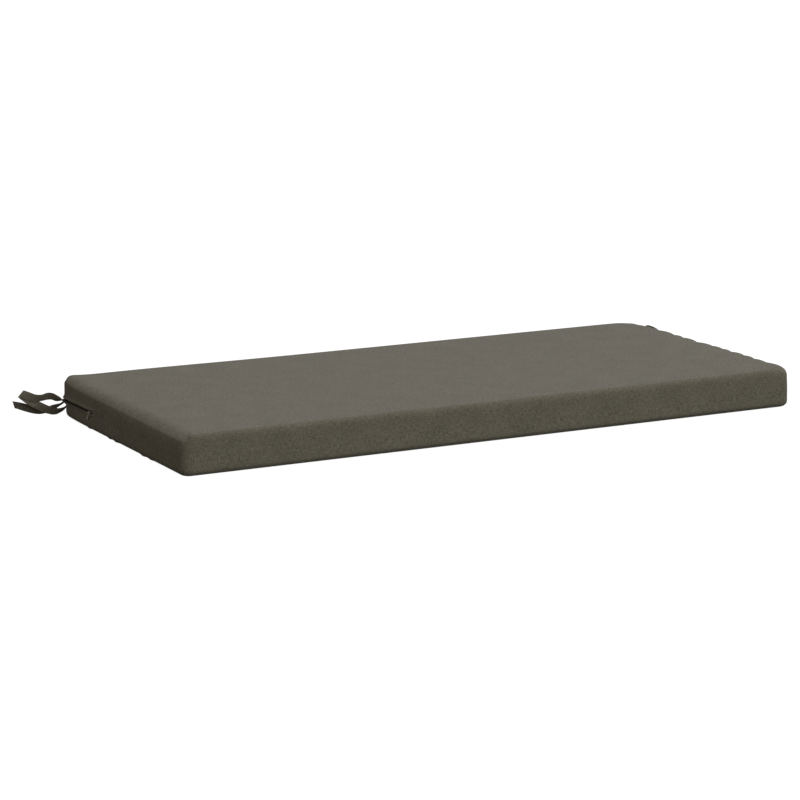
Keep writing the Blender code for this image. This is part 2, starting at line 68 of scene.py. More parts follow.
def newMaterial(name):
    made = bpy.data.materials.new(name)
    made.use_nodes = True
    return made, made.node_tree, made.node_tree.nodes["Principled BSDF"]


def addObject(name, data):
    made = bpy.data.objects.new(name, data)
    bpy.context.scene.collection.objects.link(made)
    return made


def softStep(value):
    share = np.clip(value, 0.0, 1.0)
    return share * share * (3.0 - 2.0 * share)


def hump(distance):
    return np.exp(-np.square(distance))


# camera: fitted to the photo's frame of 800 x 800
camera = {
    "yaw": 29.24,
    "pitch": 12.626,
    "roll": -0.77,
    "place": (-2.612, -4.554, 1.196),
    "lens": 136.98,
    "sensor": 36.0,
    "farthest": 100.0,
}


def addCamera():
    data = bpy.data.cameras.new("camera")
    data.lens = camera["lens"]
    data.sensor_width = camera["sensor"]
    data.clip_end = camera["farthest"]
    made = addObject("camera", data)
    yaw, pitch, roll = (math.radians(camera[name]) for name in ("yaw", "pitch", "roll"))
    ahead = Vector((math.sin(yaw) * math.cos(pitch), math.cos(yaw) * math.cos(pitch), -math.sin(pitch)))
    level = Vector((math.cos(yaw), -math.sin(yaw), 0.0))
    down = ahead.cross(level)
    right = level * math.cos(roll) + down * math.sin(roll)
    up = level * math.sin(roll) - down * math.cos(roll)
    turn = Matrix((right, up, -ahead)).transposed()
    made.matrix_world = Matrix.Translation(Vector(camera["place"])) @ turn.to_4x4()
    bpy.context.scene.camera = made


# light and floor: a wide soft light from above the right back corner, a panel in front, and a warm room that
# is darker below. The floor is just white all over, as in a catalogue photo.
studio = {
    "roomUnder": "#1e1b18",
    "roomTurns": (  # the height of view, -1 down to 1 up, where each next colour starts and is full
        (-0.66, -0.20, "#b3a793"),
        (-0.20, 0.40, "#fff7ee"),
    ),
    "roomStrength": 0.43,
    "keyFrom": (0.60, 0.32, 0.74),
    "keyColour": "#f3f4fb",
    "keyStrength": 1.21,
    "keySpread": 55.0,
    "frontPlace": (0.5, -3.9, 1.7),
    "frontSize": (4.0, 2.4),
    "frontPower": 104.0,
    "floorDark": "#5c5c5a",
    "floorPale": "#626260",
    "floorMottle": 3.0,
    "floorRoughness": 0.95,
    "floorWhite": "#ffffff",
    "floorGlow": 0.965,
    "floorReach": 30.0,
    "floorDrop": 0.0004,  # just clear of the cushion's underside
}


def addRoom():
    world = bpy.data.worlds.new("room")
    bpy.context.scene.world = world
    world.use_nodes = True
    room = world.node_tree
    way = addNode(room, "ShaderNodeTexCoord")
    height = addNode(room, "ShaderNodeSeparateXYZ", inputs={0: way.outputs["Generated"]})
    shade = toLinear(studio["roomUnder"])
    for low, high, colour in studio["roomTurns"]:
        share = addNode(room, "ShaderNodeMapRange", {"interpolation_type": "SMOOTHSTEP"}, {
            0: height.outputs["Z"], 1: low, 2: high})
        shade = addNode(room, "ShaderNodeMix", {"data_type": "RGBA"}, {
            0: share, 6: shade, 7: toLinear(colour)}).outputs[2]
    setInputs(room, room.nodes["Background"], {"Color": shade, "Strength": studio["roomStrength"]})


def addLights():
    data = bpy.data.lights.new("key", "SUN")
    data.energy = studio["keyStrength"]
    data.angle = math.radians(studio["keySpread"])
    data.color = toLinear(studio["keyColour"])[:3]
    key = addObject("key", data)
    key.rotation_euler = Vector(studio["keyFrom"]).to_track_quat("Z", "Y").to_euler()
    data = bpy.data.lights.new("front", "AREA")
    data.shape = "RECTANGLE"
    data.size, data.size_y = studio["frontSize"]
    data.energy = studio["frontPower"]
    front = addObject("front", data)
    front.location = studio["frontPlace"]
    front.rotation_euler = Vector(studio["frontPlace"]).to_track_quat("Z", "Y").to_euler()


def addFloor():
    # matt paint, faintly mottled under its even white
    reach = studio["floorReach"]
    corners = [(x * reach, y * reach, 0) for x, y in ((-1, -1), (1, -1), (1, 1), (-1, 1))]
    mesh = bpy.data.meshes.new("floor")
    mesh.from_pydata(corners, [], [(0, 1, 2, 3)])
    floor = addObject("floor", mesh)
    floor.location.z = -studio["floorDrop"]
    floor.visible_diffuse = False
    floor.visible_glossy = False
    paint, tree, shader = newMaterial("pale_matt_floor")
    place = addNode(tree, "ShaderNodeTexCoord")
    mottle = addNode(tree, "ShaderNodeTexNoise", inputs={
        "Vector": place.outputs["Object"], "Scale": studio["floorMottle"]})
    colour = addNode(tree, "ShaderNodeMix", {"data_type": "RGBA"}, {
        0: mottle, 6: toLinear(studio["floorDark"]), 7: toLinear(studio["floorPale"])})
    setInputs(tree, shader, {
        "Base Color": colour.outputs[2],
        "Roughness": studio["floorRoughness"],
        "Emission Color": toLinear(studio["floorWhite"]),
        "Emission Strength": studio["floorGlow"],
    })
    mesh.materials.append(paint)


def addStudio():
    bpy.context.scene.view_settings.view_transform = "Standard"
    addRoom()
    addLights()
    addFloor()


# woven cloths: solution-dyed polyester, plain weave of slubby melange yarns. Matt, with a pale bloom at a
# flat angle, and single yarns that come out lighter or darker for about a centimetre.
coverCloth = {
    "name": "woven_polyester_melange",
    "dark": "#464438",
    "light": "#777467",
    "spacing": 1.3 * mm,  # the real yarns lie about 0.5 mm apart, too fine to show
    "slubLength": 7.5 * mm,
    "slubWidth": 1.8 * mm,
    "weaveHeight": 0.22 * mm,
}
tieCloth = {
    "name": "woven_polyester_tape",
    "dark": "#434137",
    "light": "#7d786b",
    "spacing": 0.9 * mm,  # wider than the real yarns again
    "slubLength": 12 * mm,
    "slubWidth": 1.6 * mm,
    "weaveHeight": 0.18 * mm,
}
weave = {  # what both cloths share
    "crossingPower": 0.6,  # lower makes each crossing squarer
    "turnOver": 0.3,  # lower makes warp and weft swap more sharply
    "noiseDetail": 2.0,
    "slubRoughness": 0.6,
    "mottleSize": 45 * mm,
    "mottleShare": 0.12,
    "toneRange": (0.34, 0.66),
    "paintedGapShade": 0.65,  # painted shade: the share of the tone left in the gaps between crossings
    "yarnHeight": 0.8,
    "bump": 0.7,
    "roughness": (0.86, 0.97),
    "specular": 0.25,
    "bloom": 0.12,
    "bloomRoughness": 0.45,
}


def makeCloth(cloth):
    made, tree, shader = newMaterial(cloth["name"])
    flat = addNode(tree, "ShaderNodeUVMap", {"uv_map": "cloth"})
    axes = addNode(tree, "ShaderNodeSeparateXYZ", inputs={0: flat})
    # plain weave: warp and weft take turns on top
    waves = []
    for axis in ("X", "Y"):
        turned = addNode(tree, "ShaderNodeMath", {"operation": "MULTIPLY"}, {
            0: axes.outputs[axis], 1: math.pi / cloth["spacing"]})
        waves.append(addNode(tree, "ShaderNodeMath", {"operation": "SINE"}, {0: turned}))
    checker = addNode(tree, "ShaderNodeMath", {"operation": "MULTIPLY"}, {0: waves[0], 1: waves[1]})
    crossing = addNode(tree, "ShaderNodeMath", {"operation": "ABSOLUTE"}, {0: checker})
    pillow = addNode(tree, "ShaderNodeMath", {"operation": "POWER"}, {
        0: crossing, 1: weave["crossingPower"]})
    onTop = addNode(tree, "ShaderNodeMapRange", inputs={
        0: checker, 1: -weave["turnOver"], 2: weave["turnOver"]})
    # yarns: each noise is stretched along its own thread
    slubs = []
    for along, width in (("slubLength", "slubWidth"), ("slubWidth", "slubLength")):
        scaled = addNode(tree, "ShaderNodeVectorMath", {"operation": "MULTIPLY"}, {
            0: flat, 1: (1 / cloth[along], 1 / cloth[width], 1.0)})
        slubs.append(addNode(tree, "ShaderNodeTexNoise", inputs={
            "Vector": scaled,
            "Scale": 1.0,
            "Detail": weave["noiseDetail"],
            "Roughness": weave["slubRoughness"],
        }))
    yarn = addNode(tree, "ShaderNodeMix", inputs={0: onTop, 2: slubs[0], 3: slubs[1]})
    mottle = addNode(tree, "ShaderNodeTexNoise", inputs={
        "Vector": flat, "Scale": 1 / weave["mottleSize"], "Detail": weave["noiseDetail"]})
    tone = addNode(tree, "ShaderNodeMix", inputs={0: weave["mottleShare"], 2: yarn, 3: mottle})
    least, most = weave["toneRange"]
    spread = addNode(tree, "ShaderNodeMapRange", inputs={0: tone, 1: least, 2: most})
    # painted shade: the colour is darker in the gaps between crossings, where the weave lies in shade
    lit = addNode(tree, "ShaderNodeMapRange", inputs={0: pillow, 3: weave["paintedGapShade"], 4: 1.0})
    share = addNode(tree, "ShaderNodeMath", {"operation": "MULTIPLY"}, {0: spread, 1: lit})
    colour = addNode(tree, "ShaderNodeMix", {"data_type": "RGBA"}, {
        0: share, 6: toLinear(cloth["dark"]), 7: toLinear(cloth["light"])})
    height = addNode(tree, "ShaderNodeMath", {"operation": "MULTIPLY_ADD"}, {
        0: yarn, 1: weave["yarnHeight"], 2: pillow})
    bump = addNode(tree, "ShaderNodeBump", inputs={
        "Strength": weave["bump"], "Distance": cloth["weaveHeight"], "Height": height})
    smoothest, roughest = weave["roughness"]
    setInputs(tree, shader, {
        "Base Color": colour.outputs[2],
        "Normal": bump,
        "Roughness": addNode(tree, "ShaderNodeMapRange", inputs={0: yarn, 3: smoothest, 4: roughest}),
        "Specular IOR Level": weave["specular"],
        "Sheen Weight": weave["bloom"],
        "Sheen Roughness": weave["bloomRoughness"],
    })
    return made


# zip finishes: dark woven tape, seen only in the slot's shade, and zinc hardware painted grey
zipFinish = {
    "tapeDark": "#1b1a17",
    "tapeLight": "#34322c",
    "ribPitch": 1.6 * mm,
    "ribHeight": 0.25 * mm,
    # painted shade: how much darker the tape is painted in the hollows between its ribs
    "ribPaintedShade": 0.3,
    "lintSize": 1.2 * mm,
    "lintDetail": 3.0,
    "tapeRoughness": 0.85,
    "paint": "#8c897f",
    "rubbed": "#cfccc3",
    "grainSize": 0.5 * mm,
    "grainDetail": 2.0,
    "grainHeight": 0.05 * mm,
    "grainBump": 0.3,
    "wearSize": 2.2 * mm,
    "wearDetail": 4.0,
    "wearRange": (0.48, 0.62),
    "roughness": (0.34, 0.56),
    "metallic": (0.25, 0.9),  # under paint, and rubbed bare
}


def makeZipTape():
    # ribs run across the tape: X + Y changes steadily along it, on the ends as on the back
    made, tree, shader = newMaterial("woven_zip_tape")
    place = addNode(tree, "ShaderNodeTexCoord").outputs["Object"]
    axes = addNode(tree, "ShaderNodeSeparateXYZ", inputs={0: place})
    along = addNode(tree, "ShaderNodeMath", {"operation": "ADD"}, {
        0: axes.outputs["X"], 1: axes.outputs["Y"]})
    turned = addNode(tree, "ShaderNodeMath", {"operation": "MULTIPLY"}, {
        0: along, 1: 2 * math.pi / zipFinish["ribPitch"]})
    rib = addNode(tree, "ShaderNodeMath", {"operation": "SINE"}, {0: turned})
    lint = addNode(tree, "ShaderNodeTexNoise", inputs={
        "Vector": place, "Scale": 1 / zipFinish["lintSize"], "Detail": zipFinish["lintDetail"]})
    # painted shade: the tape's colour follows its ribs, darker in the hollows between them and paler on their
    # crests
    share = addNode(tree, "ShaderNodeMath", {"operation": "MULTIPLY_ADD"}, {
        0: rib, 1: zipFinish["ribPaintedShade"], 2: lint})
    colour = addNode(tree, "ShaderNodeMix", {"data_type": "RGBA"}, {
        0: share, 6: toLinear(zipFinish["tapeDark"]), 7: toLinear(zipFinish["tapeLight"])})
    setInputs(tree, shader, {
        "Base Color": colour.outputs[2],
        "Normal": addNode(tree, "ShaderNodeBump", inputs={"Distance": zipFinish["ribHeight"], "Height": rib}),
        "Roughness": zipFinish["tapeRoughness"],
    })
    return made


def makeSliderPaint():
    # satin paint with a fine grain, rubbed through in spots to the bright zinc
    made, tree, shader = newMaterial("painted_zinc")
    place = addNode(tree, "ShaderNodeTexCoord").outputs["Object"]
    grain = addNode(tree, "ShaderNodeTexNoise", inputs={
        "Vector": place, "Scale": 1 / zipFinish["grainSize"], "Detail": zipFinish["grainDetail"]})
    spots = addNode(tree, "ShaderNodeTexNoise", inputs={
        "Vector": place, "Scale": 1 / zipFinish["wearSize"], "Detail": zipFinish["wearDetail"]})
    start, full = zipFinish["wearRange"]
    worn = addNode(tree, "ShaderNodeMapRange", inputs={0: spots, 1: start, 2: full})
    colour = addNode(tree, "ShaderNodeMix", {"data_type": "RGBA"}, {
        0: worn, 6: toLinear(zipFinish["paint"]), 7: toLinear(zipFinish["rubbed"])})
    bump = addNode(tree, "ShaderNodeBump", inputs={
        "Strength": zipFinish["grainBump"], "Distance": zipFinish["grainHeight"], "Height": grain})
    smoothest, roughest = zipFinish["roughness"]
    painted, bare = zipFinish["metallic"]
    setInputs(tree, shader, {
        "Base Color": colour.outputs[2],
        "Normal": bump,
        "Roughness": addNode(tree, "ShaderNodeMapRange", inputs={0: grain, 3: smoothest, 4: roughest}),
        "Metallic": addNode(tree, "ShaderNodeMapRange", inputs={0: worn, 3: painted, 4: bare}),
    })
    return made


# cushion: sizes as in the solid, cut more finely
cushion = {
    "length": 1.200,
    "depth": 0.500,
    "thickness": 0.070,
    "edgeRoll": 0.012,
    "cornerRoll": 0.020,
    "crown": 0.0025,
    "edges": {  # how the top falls away along each edge, and how the side below it bends out
        "left": {"drop": 0.0078, "band": 0.027, "curve": 2.1, "inset": 0.0021, "bend": 0.0030},
        "right": {"drop": 0.0034, "band": 0.018, "curve": 2.0, "inset": 0.0033, "bend": 0.0021},
        "long": {"drop": 0.0021, "band": 0.008, "curve": 1.8, "inset": 0.0026, "bend": 0.0038},
    },
    "frontMore": {"left": 0.10},  # the share by which that fall grows at the front and shrinks at the back
    "shoulderDrop": 0.0006,
    "shoulderReach": 0.040,
    "cornerFade": 0.030,
    "gatherTopReach": {"left": 0.022, "right": 0.015},  # short, so that each gather shows at the edge
    "gatherEndReach": {"left": 0.006, "right": 0.011},
    "joinDepth": 0.0006,  # an upright join in each end panel, where the zip's closed seam stops
    "joinHalf": 0.0012,
    "cornerTuck": 0.0022,
    "tuckReach": 0.045,
    "lineDepth": 0.0004,  # along the middle of every roll: a seam at the ends, a pressed crease elsewhere
    "lineHalf": 0.0009,
    "under": {"height": 0.0068, "slope": 1.36, "left": 0.5, "right": 1.0},  # half as much at the left end
    "lean": {"by": 0.0045, "low": 0.040, "rise": 0.024, "back": 0.15, "along": 0.22, "reach": 0.06},
    "flare": {"by": 0.0020, "foot": 1.2, "reach": 0.045},
    "filling": (  # x, y, reach, lift in mm
        (594, 238, 30, -4.6),
        (-470, 235, 190, 1.6),
        (-592, 238, 30, 2.4),
        (588, -120, 130, 3.2),
        (596, -220, 26, 2.2),
        (604, -254, 19, -7.0),
    ),
    "gathers": {  # y, half width, push in mm
        ("right", "top"): (
            (205, 9, -1.8), (183, 7, -4.6), (159, 10, -3.6), (110, 8, -5.4), (79, 8, -4.4), (31, 12, -4.0),
            (-15, 6, -2.8), (-48, 7, -2.4), (-78, 10, -4.0), (-116, 7, -3.6), (-148, 8, -3.2),
            (-184, 7, -1.4),
        ),
        ("left", "bottom"): ((138, 5, 1.2), (52, 5, 1.2), (26, 7, 1.3), (-84, 7, 1.4), (-114, 8, 1.0)),
        ("left", "top"): (
            (198, 7, -0.3), (171, 5, -0.2), (146, 6, -0.4), (118, 8, -0.3), (92, 5, -0.4), (70, 7, -0.5),
            (39, 9, -0.4), (15, 5, -0.3), (-8, 7, -0.4), (-37, 9, -0.5), (-64, 5, -0.3), (-91, 8, -0.4),
            (-127, 6, -0.3), (-152, 8, -0.4), (-190, 6, -0.2),
        ),
        ("right", "bottom"): ((168, 6, 1.1), (94, 6, 1.3), (12, 7, 1.2), (-58, 6, 1.3), (-140, 7, 1.1)),
    },
    "endLay": {"left": 2.0, "right": 4.0},  # where the end panels lie on the flat cloth, clear of the rest
    "sharpAngle": 60,
}
cuts = {  # where the cushion's mesh is cut
    "edge": (0, 1.0, 2.0, 3.4, 5.2, 7.4, 9.6, 12.0, 16.0, 20.0),  # mm from every edge
    "end": (23, 26, 30, 34, 39, 45, 52, 60, 70, 82, 96),  # mm from the ends, over the gathers
    "middleInset": 0.112,  # evenly along the middle, from this far in
    "middleCount": 52,
    "acrossStart": 0.023,  # evenly across, from the front to the back, but for the zip's own cuts
    "acrossStop": 0.0215,
    "acrossStep": 0.003,
    "acrossClear": 0.0016,
    "join": (-3.0, -1.8, -1.0, 0.0, 1.0, 1.8, 3.0),  # mm from the upright join
    "side": (15.5, 19.5, 48.0, 53.0),  # mm up the sides, above and below the zip
}

# zip: its line, the slot between the two folds of cover, the chain in it
zipper = {
    "height": 0.0310,
    "rise": 0.0013,
    "seamRise": 0.0037,
    "front": 0.1165,
    "seamFront": 0.0700,
    "seamRamp": 0.0020,
    "joinY": 0.0690,
    "sliderY": 0.1262,
    "slotRamp": 0.0035,
    "slotDepth": 0.0046,
    "closedDepth": 0.0010,
    "closedHalf": 0.0006,
    "slotHalf": 0.0040,
    "foldFront": 0.0950,
    "foldFull": 0.1250,
    "rows": (  # height from the zip line and how proud of the face in mm, share of the slot's depth
        (11.0, 0.0, 0), (9.80, 0.3, 0), (9.20, -0.1, 0), (8.60, 0.9, 0), (7.40, 1.6, 0), (6.20, 2.3, 0),
        (5.00, 2.8, 0), (4.40, 2.6, 0), (4.00, 1.8, 0), (3.70, 0.5, 1), (-2.70, 0.0, 1), (-3.00, 0.2, 0),
        (-3.40, 0.6, 0), (-4.40, 0.7, 0), (-5.60, 0.3, 0), (-6.60, 0.1, 0), (-7.20, -0.5, 0),
        (-7.80, -0.1, 0), (-8.80, 0.0, 0),
    ),
    "chainDepth": 0.0024,  # of the teeth below the cover's face
    "chainFront": 0.1312,  # they start behind the slider
}


def boxDistances(box):
    # from the nearer end, the nearer long edge, and the nearer of top and bottom, and whether that's the top
    fromEnd = cushion["length"] / 2 - np.abs(box[:, 0])
    fromLong = cushion["depth"] / 2 - np.abs(box[:, 1])
    upper = box[:, 2] > cushion["thickness"] / 2
    fromFace = np.where(upper, cushion["thickness"] - box[:, 2], box[:, 2])
    return fromEnd, fromLong, fromFace, upper


def zipLine(y):
    toSlider = np.clip((cushion["depth"] / 2 - y) / (cushion["depth"] / 2 - zipper["sliderY"]), 0, 1)
    pastSlider = np.clip((zipper["sliderY"] - y) / (zipper["sliderY"] - zipper["seamFront"]), 0, 1)
    return zipper["height"] + zipper["rise"] * toSlider + zipper["seamRise"] * pastSlider


def roundCorners(box):
    # the middle of each point's upright corner, the way out from it, whether the point is clear of every
    # corner and edge, and how far in it lies
    side = np.where(box[:, :2] < 0, -1.0, 1.0)
    past = np.maximum(cushion["cornerRoll"] - np.column_stack(boxDistances(box)[:2]), 0.0)
    outward = side * past
    length = np.linalg.norm(outward, axis=1)
    inner = length < hair
    outward = outward / np.where(inner, 1.0, length)[:, None]
    return box[:, :2] - side * past, outward, inner, cushion["cornerRoll"] - past.max(1)


def topDrop(box):
    # how far the top falls away towards its edges
    fromEnd, fromLong = boxDistances(box)[:2]
    drops = {}
    for edge, distance in (("left", fromEnd), ("right", fromEnd), ("long", fromLong)):
        row = cushion["edges"][edge]
        more = 1 - cushion["frontMore"].get(edge, 0.0) * 2 * box[:, 1] / cushion["depth"]
        drops[edge] = row["drop"] * more * np.clip(1 - distance / (row["band"] * more), 0, 1) ** row["curve"]
    end = np.where(box[:, 0] < 0, drops["left"], drops["right"])
    return (end ** 4 + drops["long"] ** 4) ** 0.25


def wrapBox(box):
    # points on the plain box -> points on the rolled cushion, and the way each faces
    roll, corner, thick = (cushion[name] for name in ("edgeRoll", "cornerRoll", "thickness"))
    fromFace, upper = boxDistances(box)[2:]
    centre, outward, inner, inset = roundCorners(box)
    upward = np.where(upper, 1.0, -1.0)
    overEdge = np.where(inner, 0.0, np.maximum(roll - inset, 0.0))
    overFace = np.maximum(roll - fromFace, 0.0)
    both = (overEdge > 0) & (overFace > 0)
    longer, diagonal = np.maximum(overEdge, overFace), np.hypot(overEdge, overFace)
    scale = np.where(both, longer / np.maximum(diagonal, hair), 1.0)
    overEdge, overFace = overEdge * scale, overFace * scale
    inset = np.where(both, roll - overEdge, inset)
    fromFace = np.where(both, roll - overFace, fromFace)
    facing = np.column_stack([outward * overEdge[:, None], upward * overFace])
    flat = inner | (np.linalg.norm(facing, axis=1) < hair)
    facing[flat] = 0.0
    facing[flat, 2] = upward[flat]
    facing /= np.linalg.norm(facing, axis=1)[:, None]
    height = np.where(upper, thick - fromFace, fromFace)
    point = np.column_stack([centre + outward * (corner - inset)[:, None], height])
    point[inner] = box[inner]
    return dropTop(box, point), facing


def dropTop(box, point):
    # the upper edges: the top falls away to the edge line, and the side curves down from it
    roll, corner, thick = (cushion[name] for name in ("edgeRoll", "cornerRoll", "thickness"))
    fromEnd, fromLong, fromFace, upper = boxDistances(box)
    centre, outward, inner = roundCorners(box)[:3]
    drop = topDrop(box)
    onTop = upper & (fromFace < hair)
    left, right, long = (cushion["edges"][edge] for edge in ("left", "right", "long"))
    longShare = softStep(outward[:, 1] ** 2)
    inset, bend = (
        np.where(box[:, 0] < 0, left[name], right[name]) * (1 - longShare) + long[name] * longShare
        for name in ("inset", "bend"))
    nearest = np.minimum(fromEnd, fromLong)
    topInset = inset * np.clip(1 - nearest / corner, 0, 1) ** 2
    topPoint = np.column_stack([centre + outward * (corner - nearest - topInset)[:, None], thick - drop])
    topPoint[inner, :2] = box[inner, :2]
    share = np.clip(fromFace / roll, 0, 1)
    sideInset = inset * (1 - share) ** 2
    sideDrop = drop * (1 - share) ** 2 + 2 * (drop + bend) * share * (1 - share) + roll * share**2
    sidePoint = np.column_stack([centre + outward * (corner - sideInset)[:, None], thick - sideDrop])
    onSide = upper & ~onTop & (fromFace < roll) & ~inner
    return np.where(onTop[:, None], topPoint, np.where(onSide[:, None], sidePoint, point))


def foldInZip(box, point, facing):
    rows = np.array(zipper["rows"])
    offsets = (box[:, 2] - zipper["height"]) / mm
    row = rows[np.abs(offsets[:, None] - rows[None, :, 0]).argmin(1)]
    used = (np.abs(offsets - row[:, 0]) < hair / mm) & (np.abs(facing[:, 2]) < hair)
    y = box[:, 1]
    folds = softStep((y - zipper["foldFront"]) / (zipper["foldFull"] - zipper["foldFront"]))
    slot = softStep((y - zipper["front"] + zipper["slotRamp"]) / zipper["slotRamp"])
    seam = softStep((y - zipper["seamFront"] + zipper["seamRamp"]) / zipper["seamRamp"])
    deeper = zipper["slotDepth"] - zipper["closedDepth"]
    depth = row[:, 2] * (zipper["closedDepth"] * seam + deeper * slot)
    half = zipper["slotHalf"] + (zipper["closedHalf"] - zipper["slotHalf"]) * seam * (1 - slot)
    moved = point + facing * (row[:, 1] * mm * folds - depth)[:, None]
    near = np.abs(row[:, 0] * mm) <= zipper["slotHalf"] + hair
    moved[:, 2] = zipLine(y) + row[:, 0] * mm * np.where(near, half / zipper["slotHalf"], 1.0)
    return np.where(used[:, None], moved, point)


def gatherEnds(box, point, facing):
    # the gathers along the end seams, the upright join in each end, and the sag of the top towards the ends
    fromEnd, fromLong, fromFace, upper = boxDistances(box)
    push = np.zeros(len(box))
    for (end, edge), rows in cushion["gathers"].items():
        here = ((box[:, 0] > 0) == (end == "right")) & (upper == (edge == "top"))
        push += here * sum(amount * mm * hump((box[:, 1] - y * mm) / (half * mm)) for y, half, amount in rows)
    fade = softStep(fromLong / cushion["cornerFade"])
    topReach, endReach = (
        np.where(box[:, 0] > 0, cushion[name]["right"], cushion[name]["left"])
        for name in ("gatherTopReach", "gatherEndReach"))
    overTop = hump(fromEnd / topReach)
    downEnd = hump(np.maximum(fromFace - cushion["edgeRoll"], 0) / endReach)
    fromJoin = box[:, 1] - zipper["joinY"]
    join = cushion["joinDepth"] * (fromEnd < hair) * hump(fromJoin / cushion["joinHalf"])
    moved = point + facing * (push * fade * overTop * downEnd - join)[:, None]
    sag = cushion["shoulderDrop"] * hump(fromEnd / cushion["shoulderReach"])
    high = softStep(2 * box[:, 2] / cushion["thickness"] - 1)
    moved[:, 2] -= upper * sag * softStep(fromLong / (2 * cushion["cornerFade"])) * high
    moved[:, 2] = np.maximum(moved[:, 2], 0.0)
    return moved


def sinkEdgeLines(box, point, facing):
    fromEnd, fromLong, fromFace = boxDistances(box)[:3]
    fromLine = 0.5 * (np.minimum(fromEnd, fromLong) + fromFace)  # half of a box step becomes arc on the roll
    moved = point - facing * (cushion["lineDepth"] * hump(fromLine / cushion["lineHalf"]))[:, None]
    moved[:, 2] = np.maximum(moved[:, 2], 0.0)
    return moved


def drawUnder(box, point):
    # the front's lower roll runs straight in under the cushion
    roll, under = cushion["edgeRoll"], cushion["under"]
    arc = roll - np.sqrt(np.maximum(roll**2 - np.maximum(roll - point[:, 2], 0) ** 2, 0))
    start = roll - math.sqrt(roll**2 - (roll - under["height"]) ** 2)
    straight = start + under["slope"] * (under["height"] - point[:, 2])
    onRoll = (point[:, 2] < under["height"]) & (box[:, 1] + cushion["depth"] / 2 < roll)
    middle, change = (under["left"] + under["right"]) / 2, under["right"] - under["left"]
    drawnIn = onRoll * np.maximum(straight - arc, 0) * (middle + change * box[:, 0] / cushion["length"])
    moved = point.copy()
    moved[:, 1] += drawnIn * softStep(boxDistances(box)[0] / cushion["cornerFade"])
    return moved


def leanEnds(box, point):
    # the left end's upper part leans in towards the front, and the right front corner's foot stands out
    lean, flare = cushion["lean"], cushion["flare"]
    up = np.clip((point[:, 2] - lean["low"]) / lean["rise"], 0, 1) ** 2
    forward = softStep((lean["back"] - box[:, 1]) / lean["along"])
    leaning = forward * up * np.clip(1 - boxDistances(box)[0] / lean["reach"], 0, 1)
    moved = point.copy()
    moved[:, 0] += (box[:, 0] < 0) * lean["by"] * leaning
    fromCorner = np.hypot(cushion["length"] / 2 - box[:, 0], cushion["depth"] / 2 + box[:, 1])
    low = flare["foot"] - 2 * box[:, 2] / cushion["thickness"]
    moved[:, 0] += flare["by"] * low * hump(fromCorner / flare["reach"])
    return moved


def fill(box, point):
    # the crown, the uneven filling, and the back corners tucked in below the zip
    crown = (1 - (2 * box[:, 0] / cushion["length"]) ** 4) * (1 - (2 * box[:, 1] / cushion["depth"]) ** 4)
    lift = cushion["crown"] * crown
    for x, y, reach, amount in cushion["filling"]:
        lift = lift + amount * mm * hump(np.hypot(box[:, 0] - x * mm, box[:, 1] - y * mm) / (reach * mm))
    moved = point.copy()
    moved[:, 2] += lift * softStep(2 * box[:, 2] / cushion["thickness"] - 1)
    belowZip = softStep((zipper["height"] - box[:, 2]) / zipper["slotHalf"] - 1)
    fromCorner = np.hypot(boxDistances(box)[0], cushion["depth"] / 2 - box[:, 1])
    tuck = cushion["cornerTuck"] * belowZip * hump(fromCorner / cushion["tuckReach"])
    moved[:, 0] -= np.where(box[:, 0] < 0, -tuck, tuck)
    moved[:, 1] -= tuck
    return moved


def shapeCushion(box):
    point, facing = wrapBox(box)
    point = foldInZip(box, point, facing)
    point = gatherEnds(box, point, facing)
    point = sinkEdgeLines(box, point, facing)
    point = leanEnds(box, drawUnder(box, point))
    return fill(box, point)


def cushionStations():
    half = cushion["length"] / 2
    inside = np.linspace(-half + cuts["middleInset"], half - cuts["middleInset"], cuts["middleCount"])
    fromEnd = cuts["edge"] + cuts["end"]
    x = sorted([side * (half - value * mm) for side in (-1, 1) for value in fromEnd] + list(inside))
    half = cushion["depth"] / 2
    edges = [side * (half - value * mm) for side in (-1, 1) for value in cuts["edge"]]
    zipCuts = [zipper["front"] - zipper["slotRamp"], zipper["front"]]
    zipCuts += [zipper["joinY"] + step * mm for step in cuts["join"]]
    across = np.arange(-half + cuts["acrossStart"], half - cuts["acrossStop"], cuts["acrossStep"])
    even = [value for value in across if min(abs(value - cut) for cut in zipCuts) > cuts["acrossClear"]]
    y = sorted(edges + even + zipCuts)
    rolls = [value for value in cuts["edge"] if value * mm < cushion["edgeRoll"] + hair]
    rows = [zipper["height"] / mm + row[0] for row in zipper["rows"]]
    thick = cushion["thickness"] / mm
    z = sorted(rolls + list(cuts["side"]) + rows + [thick - value for value in rolls])
    return np.array(x), np.array(y), np.array(z) * mm


